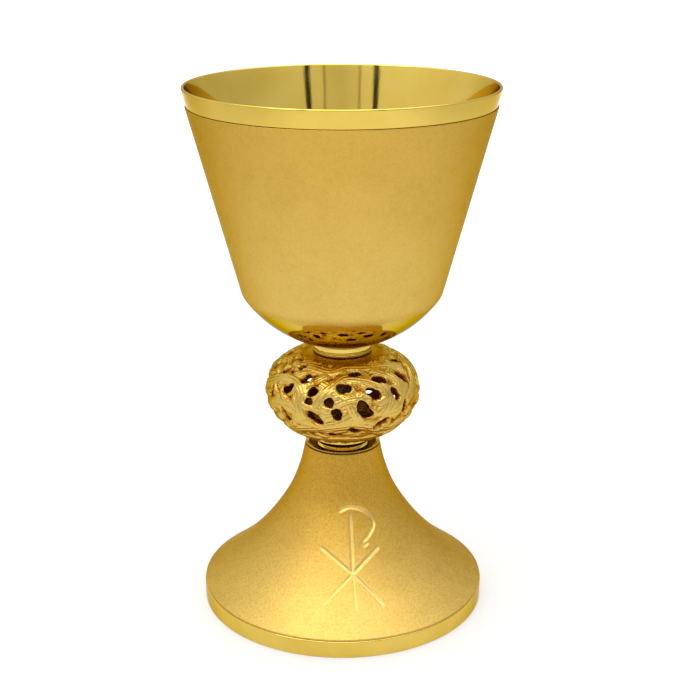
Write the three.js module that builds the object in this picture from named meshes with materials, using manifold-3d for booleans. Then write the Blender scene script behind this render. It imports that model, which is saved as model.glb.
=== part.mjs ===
// A communion chalice in gold-plated brass, taken apart as a metalsmith makes it.
// A polished bowl sits in a satin sleeve. A stud brazed under the bowl runs down through a
// collar, the openwork knot and a second collar, and screws into a nut inside the foot.
// Millimetres, +Z up, origin at the centre of the surface that the foot stands on.
import * as THREE from "three";
import { mergeVertices } from "three/addons/utils/BufferGeometryUtils.js";
import Module from "manifold-3d";

const wasm = await Module();
wasm.setup();

// Driving dimensions.
const HEIGHT = 201; // table to lip
const MOUTH_R = 57.5; // outer radius of the lip
const FOOT_R = 55; // radius of the foot's edge ring
const GAP = 0.3; // clearance between neighbouring pieces
const SHELL_FACETS = 48; // sides of a full turn, on the cup and the foot
const RING_FACETS = 32; // sides of a full turn, on the knot and the small pieces

// Cup: a cone that runs into a shallow spherical bottom.
const BAND_BOTTOM_Z = 194.5; // underside of the polished lip band
const CONE_SLOPE = 0.2664; // radius gained per millimetre of height
const BOTTOM_BALL_R = 44.7; // radius of the rounded bottom, outside
const BOTTOM_BALL_Z = 148.3; // height of that ball's centre
const SLEEVE_WALL = 0.7;
const BOWL_WALL = 0.8;
const BAND_INSET = 0.45; // how far the band lies inside the sleeve's surface
const LIP_ROUND = 0.5;

// Stem.
const STUD_R = 2.5; // M5
const STUD_TOP_Z = 103.4;
const STUD_END_Z = 50;
const STUD_CHAMFER = 0.5;
const BORE_R = STUD_R + GAP; // holes that the stud passes through
const BOSS_R = 5;
const BOSS_BOTTOM_Z = 101.4;
const COLLAR_R = 11.4;
const COLLAR_BOTTOM_Z = 101.1;
const KNOT_TOP_Z = COLLAR_BOTTOM_Z - GAP;
const KNOT_BOTTOM_Z = 68.6;
const KNOT_MIDDLE_Z = 85;
const KNOT_WALL = 2.6;
const KNOT_MOUTH_R = 7.5;
const LOWER_FLANGE_R = 12;
const LOWER_NECK_R = 9.5;

// Foot.
const FOOT_WALL = 1;
const FOOT_TOP_Z = 64.3;
const EDGE_RING_HEIGHT = 6.6;
const EDGE_RING_WALL = 1.3;
const EDGE_FLANGE_R = 50.5; // inner radius of the ring's flat underside
const DISH_Z = 62.9; // floor of the dished cap in the foot's mouth

// Engraved monogram: round-bottomed grooves.
const GROOVE_TOOL_R = 0.8;
const GROOVE_TOOL_LIFT = 0.35; // centre of the tool above the surface

// ---- Materials ----

function metal(colour, roughness) {
  return new THREE.MeshStandardMaterial({ color: colour, roughness, metalness: 1 });
}

const polishedGold = () => metal(0xe6c264, 0.12);
const satinGold = () => metal(0xcda03e, 0.45);
const castGold = () => metal(0xd0a545, 0.32);
const plainBrass = () => metal(0xb9964a, 0.4);
const steel = () => metal(0x9d9d9b, 0.35);

// ---- Solids ----

const solidOf = (geometry) => {
  const bare = geometry.index ? geometry.toNonIndexed() : geometry.clone();
  bare.deleteAttribute("normal");
  bare.deleteAttribute("uv");
  const merged = mergeVertices(bare, 1e-4);
  return new wasm.Manifold(
    new wasm.Mesh({
      numProp: 3,
      vertProperties: merged.attributes.position.array,
      triVerts: new Uint32Array(merged.index.array),
    }),
  );
};

const geometryOf = (solid) => {
  const mesh = solid.getMesh();
  const geometry = new THREE.BufferGeometry();
  geometry.setAttribute("position", new THREE.BufferAttribute(mesh.vertProperties, 3));
  geometry.setIndex(new THREE.BufferAttribute(mesh.triVerts, 1));
  const flat = geometry.toNonIndexed();
  flat.computeVertexNormals();
  return flat;
};

const cutAll = (body, cutters) => {
  const cut = cutters.reduce((rest, tool) => rest.subtract(solidOf(tool)), solidOf(body));
  return geometryOf(cut);
};

const part = (name, geometry, material) => {
  const mesh = new THREE.Mesh(geometry, material);
  mesh.name = name;
  return mesh;
};

const at = (r, z) => new THREE.Vector2(r, z);

// Turns a closed section, listed anticlockwise with r to the right and z up, about the Z axis.
const turned = (section, facets) => {
  const onAxis = section[0].x === 0;
  const outline = onAxis ? section : [...section, section[0]];
  return new THREE.LatheGeometry(outline, facets).rotateX(Math.PI / 2);
};

// A plain turned ring or disc.
const ring = (innerR, outerR, bottomZ, topZ, facets = RING_FACETS) =>
  turned(
    [at(innerR, bottomZ), at(outerR, bottomZ), at(outerR, topZ), at(innerR, topZ)],
    facets,
  );

// ---- Curves of revolution ----

// An outline that runs downwards, moved towards the axis by a wall's thickness.
const inward = (curve, samples, wall) =>
  Array.from({ length: samples + 1 }, (_, i) => {
    const point = curve.getPoint(i / samples);
    const along = curve.getTangent(i / samples);
    return at(point.x + along.y * wall, point.y - along.x * wall);
  });

// ---- Cup ----

const slant = Math.hypot(1, CONE_SLOPE);
const sleeveTopR = MOUTH_R - CONE_SLOPE * (HEIGHT - LIP_ROUND - BAND_BOTTOM_Z) + BAND_INSET * slant;

// Radius of the cone at a height, on the surface that lies an inset inside the sleeve's.
const coneR = (z, inset) => sleeveTopR - CONE_SLOPE * (BAND_BOTTOM_Z - z) - inset * slant;

// Height at which the same surface's cone meets its ball.
const cornerZ = (inset) => {
  const ball = BOTTOM_BALL_R - inset;
  const atCentre = coneR(BOTTOM_BALL_Z, inset);
  const a = 1 + CONE_SLOPE ** 2;
  const b = CONE_SLOPE * atCentre;
  const c = atCentre ** 2 - ball ** 2;
  return BOTTOM_BALL_Z + (-b - Math.sqrt(b * b - a * c)) / a;
};

// The rounded bottom from its corner with the cone down to a radius, on one inset surface.
const bottomArc = (inset, endR, steps = 6) => {
  const ball = BOTTOM_BALL_R - inset;
  const start = Math.asin((BOTTOM_BALL_Z - cornerZ(inset)) / ball);
  const end = Math.acos(endR / ball);
  return Array.from({ length: steps + 1 }, (_, i) => {
    const angle = start + ((end - start) * i) / steps;
    return at(ball * Math.cos(angle), BOTTOM_BALL_Z - ball * Math.sin(angle));
  });
};

function cupBowl() {
  const outside = SLEEVE_WALL + GAP;
  const inside = outside + BOWL_WALL;
  const lipInnerR = coneR(HEIGHT - LIP_ROUND, inside);
  const underside = bottomArc(outside, 0).reverse();
  const floor = bottomArc(inside, 0);
  const section = [
    ...underside,
    at(coneR(BAND_BOTTOM_Z, outside), BAND_BOTTOM_Z),
    at(coneR(BAND_BOTTOM_Z, BAND_INSET), BAND_BOTTOM_Z),
    at(MOUTH_R, HEIGHT - LIP_ROUND),
    at(MOUTH_R - LIP_ROUND, HEIGHT),
    at(lipInnerR + LIP_ROUND / 2, HEIGHT),
    at(lipInnerR, HEIGHT - LIP_ROUND),
    ...floor,
  ];
  return part("cup_bowl", turned(section, SHELL_FACETS), polishedGold());
}

function cupSleeve() {
  const topZ = BAND_BOTTOM_Z - GAP;
  const holeR = BOSS_R + GAP;
  const section = [
    ...bottomArc(0, holeR).reverse(),
    at(coneR(topZ, 0), topZ),
    at(coneR(topZ, SLEEVE_WALL), topZ),
    ...bottomArc(SLEEVE_WALL, holeR),
  ];
  return part("cup_sleeve", turned(section, SHELL_FACETS), satinGold());
}

// The boss brazed under the bowl, with a blind hole that holds the stud.
function cupBoss() {
  const topZ = BOTTOM_BALL_Z - (BOTTOM_BALL_R - SLEEVE_WALL - GAP) - GAP;
  const holeTopZ = STUD_TOP_Z + GAP;
  const section = [
    at(0, holeTopZ),
    at(BORE_R, holeTopZ),
    at(BORE_R, BOSS_BOTTOM_Z),
    at(BOSS_R, BOSS_BOTTOM_Z),
    at(BOSS_R, topZ),
    at(0, topZ),
  ];
  return part("cup_boss", turned(section, RING_FACETS), plainBrass());
}

function cupStud() {
  const section = [
    at(0, STUD_END_Z),
    at(STUD_R - STUD_CHAMFER, STUD_END_Z),
    at(STUD_R, STUD_END_Z + STUD_CHAMFER),
    at(STUD_R, STUD_TOP_Z - STUD_CHAMFER),
    at(STUD_R - STUD_CHAMFER, STUD_TOP_Z),
    at(0, STUD_TOP_Z),
  ];
  return part("cup_stud", turned(section, 16), plainBrass());
}

// ---- Collars ----

// The collar under the cup: a bead, a narrow groove and a band that seats on the ball.
function upperCollar() {
  const grooveZ = COLLAR_BOTTOM_Z + 1.1;
  const grooveWidth = 0.5;
  const grooveDepth = 0.5;
  const seatR = BOTTOM_BALL_R + GAP;
  const seatZ = (r) => BOTTOM_BALL_Z - Math.sqrt(seatR ** 2 - r ** 2);
  const boreR = BOSS_R + GAP;
  const section = [
    at(boreR, COLLAR_BOTTOM_Z),
    at(COLLAR_R - 0.4, COLLAR_BOTTOM_Z),
    at(COLLAR_R, COLLAR_BOTTOM_Z + 0.4),
    at(COLLAR_R, grooveZ),
    at(COLLAR_R - grooveDepth, grooveZ),
    at(COLLAR_R - grooveDepth, grooveZ + grooveWidth),
    at(COLLAR_R, grooveZ + grooveWidth),
    at(COLLAR_R, seatZ(COLLAR_R)),
    at((COLLAR_R + boreR) / 2, seatZ((COLLAR_R + boreR) / 2)),
    at(boreR, seatZ(boreR)),
  ];
  return part("upper_collar", turned(section, RING_FACETS), polishedGold());
}

// The collar on the foot: a flange under the knot, on a narrower neck.
function lowerCollar() {
  const topZ = KNOT_BOTTOM_Z - GAP;
  const flangeZ = topZ - 2;
  const section = [
    at(BORE_R, DISH_Z + GAP),
    at(LOWER_NECK_R, DISH_Z + GAP),
    at(LOWER_NECK_R, flangeZ - 0.6),
    at(LOWER_FLANGE_R - 0.4, flangeZ),
    at(LOWER_FLANGE_R, flangeZ + 0.4),
    at(LOWER_FLANGE_R, topZ - 0.4),
    at(LOWER_FLANGE_R - 0.4, topZ),
    at(BORE_R, topZ),
  ];
  return part("lower_collar", turned(section, RING_FACETS), polishedGold());
}

// ---- Knot ----

// Half of the knot's openings, each as [bearing in degrees, height, length, width, tilt in
// degrees], with bearings anticlockwise from the front. The other half repeats it, turned
// half way round.
const KNOT_OPENINGS = [
  [12, 98, 4.6, 2.4, 0],
  [-48, 98.6, 3.4, 2.4, 60],
  [77, 98, 5, 2.2, -30],
  [-63, 96.4, 4, 2, 60],
  [-34, 96.2, 4.4, 3.4, 60],
  [34, 96, 6, 3.2, -20],
  [61, 94.6, 6.4, 3.8, -60],
  [1, 94.6, 5.6, 3.8, 0],
  [-24, 93, 4.2, 3.2, 45],
  [25, 92.4, 6, 3.2, -35],
  [-47, 92, 5.6, 3.2, 40],
  [-26, 89.6, 3, 2.4, 0],
  [-10, 89.8, 3.6, 3.2, -40],
  [44, 90.6, 5.6, 3.2, -60],
  [-67, 88.6, 5, 2.4, 70],
  [82, 90.4, 5, 3, 50],
  [16, 87, 7.6, 4.4, -55],
  [-4, 85.6, 4.6, 3.6, -70],
  [-20, 83.4, 7, 3, -35],
  [52, 84.2, 6, 2.8, 70],
  [-47, 81.8, 7, 2.4, -50],
  [99, 84.4, 6, 3, -40],
  [74, 80, 5, 3, -30],
  [30, 80, 6.8, 3.6, 36],
  [9, 78.2, 5, 2.6, -40],
  [-8, 76.2, 6, 2.8, -10],
  [-27, 74.8, 4.6, 2.6, -20],
  [50, 75.4, 5, 2.6, 10],
  [-58, 75.4, 5, 2.6, 20],
  [88, 74.6, 5.4, 2.6, 10],
];

// The knot's outline from its top land, round its widest part, to its bottom land.
const knotOutline = new THREE.SplineCurve([
  at(14.5, KNOT_TOP_Z - 0.1),
  at(20, 99),
  at(27.2, 94),
  at(29.3, 86.5),
  at(28.2, 80),
  at(24.4, 75),
  at(20, 71.3),
  at(15, KNOT_BOTTOM_Z + 0.2),
]);
const KNOT_ROWS = 8;

function knotShell() {
  const outer = knotOutline.getPoints(KNOT_ROWS).reverse();
  const inner = inward(knotOutline, KNOT_ROWS, KNOT_WALL).slice(1, -1);
  const section = [
    at(KNOT_MOUTH_R, KNOT_BOTTOM_Z),
    at(LOWER_FLANGE_R, KNOT_BOTTOM_Z),
    ...outer,
    at(LOWER_FLANGE_R, KNOT_TOP_Z),
    at(KNOT_MOUTH_R, KNOT_TOP_Z),
    at(KNOT_MOUTH_R, KNOT_TOP_Z - KNOT_WALL),
    ...inner,
    at(KNOT_MOUTH_R, KNOT_BOTTOM_Z + KNOT_WALL),
  ];
  return turned(section, RING_FACETS);
}

// Radius of the knot's outline at a height.
const knotRadiusAt = (z) => {
  const points = knotOutline.getPoints(60);
  const below = points.findIndex((p) => p.y <= z);
  const upper = points[below - 1];
  const lower = points[below];
  return upper.x + ((lower.x - upper.x) * (upper.y - z)) / (upper.y - lower.y);
};

// A rounded six-sided punch that stands along the surface's normal and passes through it.
const knotPunch = ([bearing, height, length, width, tilt]) => {
  const shape = new THREE.Shape([
    at(length / 2, 0),
    at(length / 4, width / 2),
    at(-length / 4, width / 2),
    at(-length / 2, 0),
    at(-length / 4, -width / 2),
    at(length / 4, -width / 2),
  ]);
  const depth = 3 * KNOT_WALL;
  const punch = new THREE.ExtrudeGeometry(shape, { depth, bevelEnabled: false });
  punch.translate(0, 0, -depth / 2);
  punch.rotateZ(THREE.MathUtils.degToRad(tilt));
  const halfHeight = (KNOT_TOP_Z - KNOT_BOTTOM_Z) / 2;
  const radius = knotRadiusAt(height);
  const rise = Math.atan2((height - KNOT_MIDDLE_Z) / halfHeight ** 2, radius / 29.3 ** 2);
  punch.rotateX(Math.PI / 2 - rise);
  punch.translate(0, -radius, height);
  punch.rotateZ(THREE.MathUtils.degToRad(bearing));
  return punch;
};

function knotCasting() {
  const halfTurns = [0, 180];
  const punches = halfTurns.flatMap((turn) =>
    KNOT_OPENINGS.map(([bearing, ...rest]) => knotPunch([bearing + turn, ...rest])),
  );
  return part("knot_casting", cutAll(knotShell(), punches), castGold());
}

// ---- Foot ----

// The foot's bell from its top edge down to the edge ring.
const bell = new THREE.SplineCurve([
  at(14.5, FOOT_TOP_Z - 1),
  at(16.7, 54),
  at(21.2, 43),
  at(30.2, 30),
  at(40.6, 19),
  at(50.1, 11),
  at(FOOT_R - 0.3, EDGE_RING_HEIGHT + 0.8),
]);
const BELL_ROWS = 10;

const bellPoint = (x, z) => {
  const points = bell.getPoints(80);
  const below = points.findIndex((p) => p.y <= z);
  const upper = points[below - 1];
  const lower = points[below];
  const radius = upper.x + ((lower.x - upper.x) * (upper.y - z)) / (upper.y - lower.y);
  return new THREE.Vector3(x, -Math.sqrt(radius ** 2 - x ** 2) - GROOVE_TOOL_LIFT, z);
};

// The monogram's strokes, each as [across, height] points on the front of the bell.
const STROKES = {
  stem: [[2.7, 42.4], [3.5, 28], [5, 14]],
  bow: [[-1.5, 43], [2.7, 44.4], [8.4, 42.6], [11.6, 38.2], [10, 35], [7.6, 33]],
  risingArm: [[-7.6, 15.2], [3.7, 23.8], [13.4, 30.6]],
  fallingArm: [[-8, 31.2], [3.7, 23.8], [15, 14.6]],
};

const strokeTool = (points) => {
  const onBell = points.map(([x, z]) => bellPoint(x, z));
  const path = new THREE.CatmullRomCurve3(onBell);
  const tip = new THREE.Shape().absarc(0, 0, GROOVE_TOOL_R, 0, 2 * Math.PI);
  return new THREE.ExtrudeGeometry(tip, {
    steps: 3 * (points.length - 1),
    curveSegments: 3,
    extrudePath: path,
  });
};

function footShell() {
  const outer = bell.getPoints(BELL_ROWS).reverse();
  const inner = inward(bell, BELL_ROWS, FOOT_WALL).slice(0, -1);
  const skirtR = FOOT_R - EDGE_RING_WALL - GAP;
  const skirtZ = EDGE_RING_HEIGHT + GAP;
  const section = [
    at(skirtR - FOOT_WALL, 1.6),
    at(skirtR, 1.6),
    at(skirtR, skirtZ),
    at(FOOT_R - 0.3, skirtZ),
    ...outer,
    ...inner,
    at(skirtR - FOOT_WALL, skirtZ),
  ];
  const shell = turned(section, SHELL_FACETS);
  const tools = Object.values(STROKES).map(strokeTool);
  return part("foot_shell", cutAll(shell, tools), satinGold());
}

function footEdgeRing() {
  const innerR = FOOT_R - EDGE_RING_WALL;
  const section = [
    at(EDGE_FLANGE_R, 0),
    at(FOOT_R - 0.3, 0),
    at(FOOT_R, 0.3),
    at(FOOT_R, EDGE_RING_HEIGHT - 0.3),
    at(FOOT_R - 0.3, EDGE_RING_HEIGHT),
    at(innerR, EDGE_RING_HEIGHT),
    at(innerR, EDGE_RING_WALL),
    at(EDGE_FLANGE_R, EDGE_RING_WALL),
  ];
  return part("foot_edge_ring", turned(section, SHELL_FACETS), polishedGold());
}

// The dished cap whose rim rests on the bell's top edge.
function footCap() {
  const rimBottomZ = FOOT_TOP_Z - 0.7;
  const plugR = 13.2;
  const section = [
    at(BORE_R, DISH_Z - 1),
    at(plugR, DISH_Z - 1),
    at(plugR, rimBottomZ),
    at(14.4, rimBottomZ),
    at(14.4, FOOT_TOP_Z),
    at(plugR, FOOT_TOP_Z),
    at(11.6, DISH_Z),
    at(BORE_R, DISH_Z),
  ];
  return part("foot_cap", turned(section, RING_FACETS), polishedGold());
}

// ---- Fastening under the foot's cap ----

function hexNut(topZ, height, acrossFlats) {
  const outline = new THREE.Shape();
  const cornerR = acrossFlats / Math.sqrt(3);
  for (let i = 0; i < 6; i += 1) {
    const angle = (i * Math.PI) / 3;
    const move = i === 0 ? "moveTo" : "lineTo";
    outline[move](cornerR * Math.cos(angle), cornerR * Math.sin(angle));
  }
  outline.holes.push(new THREE.Path().absarc(0, 0, BORE_R, 0, 2 * Math.PI, true));
  const options = { depth: height, curveSegments: 8, bevelEnabled: false };
  return new THREE.ExtrudeGeometry(outline, options).translate(0, 0, topZ - height);
}

// A split ring, cut through at one bearing.
function springWasher(topZ, height) {
  const outerR = 4.4;
  const whole = ring(BORE_R, outerR, topZ - height, topZ, 24);
  const split = new THREE.BoxGeometry(outerR, 0.8, 2 * height).rotateY(0.3);
  split.translate(outerR / 2 + BORE_R / 2, 0, topZ - height / 2);
  return cutAll(whole, [split]);
}

function fastening() {
  const plateTopZ = DISH_Z - 1 - GAP;
  const washerTopZ = plateTopZ - 2 - GAP;
  const springTopZ = washerTopZ - 1 - GAP;
  const nutTopZ = springTopZ - 1.2 - GAP;
  return [
    part("clamp_plate", ring(BORE_R, 10, plateTopZ - 2, plateTopZ), plainBrass()),
    part("flat_washer", ring(BORE_R, 5, washerTopZ - 1, washerTopZ, 24), steel()),
    part("spring_washer", springWasher(springTopZ, 1.2), steel()),
    part("hex_nut", hexNut(nutTopZ, 4, 8), plainBrass()),
  ];
}

// ---- Assembly ----

const cup = new THREE.Group();
cup.add(cupBowl(), cupSleeve(), cupBoss(), cupStud(), upperCollar());

const foot = new THREE.Group();
foot.add(lowerCollar(), footCap(), footShell(), footEdgeRing(), ...fastening());

const chalice = new THREE.Group();
chalice.add(cup, knotCasting(), foot);

export default chalice;
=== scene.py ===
"""A gold-plated communion chalice: a satin cup with a polished lip, an openwork knot and a flared foot.

Everything is in metres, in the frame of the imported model: +Z up, the engraved front towards -Y.
"""

import math

import bpy
import numpy as np
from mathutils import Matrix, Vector


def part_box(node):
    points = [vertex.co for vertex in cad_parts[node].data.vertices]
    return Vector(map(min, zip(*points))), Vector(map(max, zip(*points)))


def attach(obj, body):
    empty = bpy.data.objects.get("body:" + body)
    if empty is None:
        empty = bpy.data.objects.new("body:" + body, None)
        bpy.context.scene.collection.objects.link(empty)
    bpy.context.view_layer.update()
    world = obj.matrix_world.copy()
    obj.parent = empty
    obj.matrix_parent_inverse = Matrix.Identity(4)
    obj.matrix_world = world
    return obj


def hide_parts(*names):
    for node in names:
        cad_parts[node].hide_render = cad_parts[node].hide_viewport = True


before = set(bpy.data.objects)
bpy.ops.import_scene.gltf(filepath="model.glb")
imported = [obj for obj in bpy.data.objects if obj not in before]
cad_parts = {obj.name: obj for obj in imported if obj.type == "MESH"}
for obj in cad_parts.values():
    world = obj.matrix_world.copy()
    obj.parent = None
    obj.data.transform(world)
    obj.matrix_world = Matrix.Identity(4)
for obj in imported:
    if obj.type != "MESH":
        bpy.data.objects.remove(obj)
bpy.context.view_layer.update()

MM = 0.001
POINTS_AT_ONCE = 4000

# The clearance between neighbouring pieces, and the radii of the holes round the stud and the boss.
GAP = 0.3 * MM
BORE = 2.8 * MM
BOSS_HOLE_R = 5.3 * MM


def low(node):
    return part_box(node)[0].z


def high(node):
    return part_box(node)[1].z


def radius(node):
    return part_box(node)[1].x


# ---- Outlines: lists of (radius, height) ----


def filleted(corners, closed=True, steps=6):
    """The outline through corners (radius, height, rounding), each rounded by an arc."""
    out = []
    count = len(corners)
    for i, (r, z, rounding) in enumerate(corners):
        here = np.array((r, z))
        if rounding <= 0 or (not closed and i in (0, count - 1)):
            out.append(here)
            continue
        before = np.array(corners[i - 1][:2]) - here
        after = np.array(corners[(i + 1) % count][:2]) - here
        a = before / np.linalg.norm(before)
        b = after / np.linalg.norm(after)
        half = 0.5 * math.acos(float(np.clip(a @ b, -1, 1)))
        reach = rounding / math.tan(half)
        centre = here + (a + b) / np.linalg.norm(a + b) * rounding / math.sin(half)
        start = here + a * reach - centre
        end = here + b * reach - centre
        sweep = math.atan2(start[0] * end[1] - start[1] * end[0], float(start @ end))
        for k in range(steps + 1):
            turn = sweep * k / steps
            c, s = math.cos(turn), math.sin(turn)
            out.append(centre + np.array((c * start[0] - s * start[1], s * start[0] + c * start[1])))
    return out


def spline(points, count):
    """count + 1 points along the Catmull-Rom curve through points."""
    p = np.array(points, float)
    out = []
    for t in np.linspace(0, len(p) - 1, count + 1):
        i = min(int(t), len(p) - 2)
        f = t - i
        p0, p1, p2, p3 = p[max(i - 1, 0)], p[i], p[i + 1], p[min(i + 2, len(p) - 1)]
        v1, v2 = (p2 - p0) / 2, (p3 - p1) / 2
        out.append(
            (2 * p1 - 2 * p2 + v1 + v2) * f**3 + (-3 * p1 + 3 * p2 - 2 * v1 - v2) * f**2 + v1 * f + p1
        )
    return np.array(out)


def normals_of(line):
    """Unit normals of an outline that runs downwards, pointing away from the axis."""
    along = np.gradient(np.array(line), axis=0)
    along /= np.linalg.norm(along, axis=1)[:, None]
    return np.column_stack((-along[:, 1], along[:, 0]))


# ---- Meshes ----


def mesh_object(name, verts, faces, sharp_deg=35):
    mesh = bpy.data.meshes.new(name)
    mesh.from_pydata([tuple(v) for v in verts], [], faces)
    mesh.update()
    mesh.shade_smooth()
    mesh.set_sharp_from_angle(angle=math.radians(sharp_deg))
    made = bpy.data.objects.new(name, mesh)
    bpy.context.scene.collection.objects.link(made)
    return made


def revolved(name, outline, turns, closed=True):
    """The outline turned about the Z axis. It runs anticlockwise, with radius to the right and
    height up."""
    verts, rings = [], []
    angles = np.linspace(0, 2 * math.pi, turns, endpoint=False)
    for r, z in outline:
        start = len(verts)
        if r < 1e-9:
            verts.append((0, 0, z))
            rings.append([start] * turns)
        else:
            verts += [(r * math.cos(a), r * math.sin(a), z) for a in angles]
            rings.append(list(range(start, start + turns)))
    faces = []
    pairs = len(rings) if closed else len(rings) - 1
    for i in range(pairs):
        a, b = rings[i], rings[(i + 1) % len(rings)]
        for k in range(turns):
            n = (k + 1) % turns
            corners = [a[k], a[n], b[n], b[k]]
            face = [v for j, v in enumerate(corners) if v != corners[j - 1]]
            if len(face) > 2:
                faces.append(face)
    return mesh_object(name, verts, faces)


def keep(piece, node, body, material):
    """The piece stands for its CAD node, moves with the body and takes a finish."""
    piece.data.materials.clear()
    piece.data.materials.append(material)
    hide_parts(node)
    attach(piece, body)


# ---- Materials ----


def plug(tree, socket, value):
    """Link a node's output into the socket, or set the socket to a plain value."""
    if isinstance(value, bpy.types.NodeSocket):
        tree.links.new(value, socket)
    else:
        socket.default_value = value


def calculate(tree, operation, *values):
    made = tree.nodes.new("ShaderNodeMath")
    made.operation = operation
    for socket, value in zip(made.inputs, values):
        plug(tree, socket, value)
    return made.outputs[0]


def set_stops(ramp, stops):
    """Give a colour ramp its stops, as (position, colour)."""
    elements = ramp.color_ramp.elements
    while len(elements) < len(stops):
        elements.new(1.0)
    for element, (position, colour) in zip(elements, stops):
        element.position = position
        element.color = (*colour, 1)


def mixed(tree, fac, a, b, blend):
    """The colour a blended with the colour b."""
    made = tree.nodes.new("ShaderNodeMix")
    made.data_type = "RGBA"
    made.blend_type = blend
    colours = [s for s in made.inputs if s.type == "RGBA"]
    for socket, value in ((made.inputs[0], fac), (colours[0], a), (colours[1], b)):
        plug(tree, socket, (*value, 1) if isinstance(value, tuple) else value)
    return [s for s in made.outputs if s.type == "RGBA"][0]


class Finish:
    """A metal material, built node by node around one Principled shader."""

    def __init__(self, name, roughness, specular_tint=(1, 1, 1)):
        self.material = bpy.data.materials.new(name)
        self.material.use_nodes = True
        self.tree = self.material.node_tree
        self.shader = self.tree.nodes["Principled BSDF"]
        self.shader.inputs["Metallic"].default_value = 1.0
        self.shader.inputs["Roughness"].default_value = roughness
        self.shader.inputs["Specular Tint"].default_value = (*specular_tint, 1)
        coords = self.tree.nodes.new("ShaderNodeTexCoord")
        self.place = coords.outputs["Object"]

    def node(self, kind, settings=None, **values):
        made = self.tree.nodes.new(kind)
        for key, value in (settings or {}).items():
            setattr(made, key, value)
        for key, value in values.items():
            plug(self.tree, made.inputs[key.replace("_", " ")], value)
        return made

    def math(self, operation, a, b):
        return calculate(self.tree, operation, a, b)

    def noise(self, scale, detail=2.0, roughness=0.5, stretch=None):
        place = self.place
        if stretch:
            place = self.node("ShaderNodeMapping", Vector=place, Scale=stretch).outputs[0]
        return self.node(
            "ShaderNodeTexNoise", Vector=place, Scale=scale, Detail=detail, Roughness=roughness
        ).outputs["Fac"]

    def ramp(self, fac, stops):
        made = self.node("ShaderNodeValToRGB", Fac=fac)
        set_stops(made, stops)
        return made.outputs["Color"]

    def spread(self, fac, from_low, from_high, to_low, to_high):
        return self.node(
            "ShaderNodeMapRange",
            {"clamp": True, "interpolation_type": "SMOOTHSTEP"},
            Value=fac,
            From_Min=from_low,
            From_Max=from_high,
            To_Min=to_low,
            To_Max=to_high,
        ).outputs["Result"]

    def mix(self, fac, a, b, blend="MIX"):
        return mixed(self.tree, fac, a, b, blend)

    def set(self, name, value):
        self.tree.links.new(value, self.shader.inputs[name])

    def bump(self, height, strength, distance, below=None):
        made = self.node("ShaderNodeBump", Height=height, Strength=strength, Distance=distance)
        if below is not None:
            self.tree.links.new(below, made.inputs["Normal"])
        return made.outputs["Normal"]


# Colours of the plate, and of what it reflects at a glancing angle.
GOLD = (0.69, 0.475, 0.08)
GOLD_PALE = (0.78, 0.57, 0.125)
POLISH_EDGE_TINT = (0.7, 0.6, 0.4)
SATIN_EDGE_TINT = (0.42, 0.32, 0.18)


def polished_gold(painted_shade_below=None):
    """Bright plate with faint polishing swirls and smears, a slight waviness left by spinning, and a
    painted dark shade on a duller surface below a height if one is given."""
    f = Finish("polished_gold", 0.05, POLISH_EDGE_TINT)
    smears = f.noise(45, 3)
    colour = f.ramp(smears, [(0.3, GOLD), (0.75, GOLD_PALE)])
    fine = f.noise(900, 2, stretch=(1, 1, 0.15))
    wear = f.math("ADD", f.math("MULTIPLY", smears, 0.7), f.math("MULTIPLY", fine, 0.3))
    rough = f.spread(wear, 0.3, 0.75, 0.03, 0.1)
    if painted_shade_below is not None:
        height = f.node("ShaderNodeSeparateXYZ", Vector=f.place).outputs["Z"]
        bright = f.spread(height, painted_shade_below - 0.1 * MM, painted_shade_below + 0.1 * MM, 0.0, 1.0)
        # Painted shade: below the height the colour turns dark and the surface rougher.
        colour = f.mix(bright, (0.10, 0.048, 0.008), colour)
        rough = f.math("ADD", rough, f.math("MULTIPLY", f.math("SUBTRACT", 1.0, bright), 0.25))
    f.set("Base Color", colour)
    f.set("Roughness", rough)
    waves = f.bump(f.noise(28, 1), 0.3, 0.6 * MM)
    f.set("Normal", f.bump(fine, 0.05, 0.1 * MM, waves))
    return f.material


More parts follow.
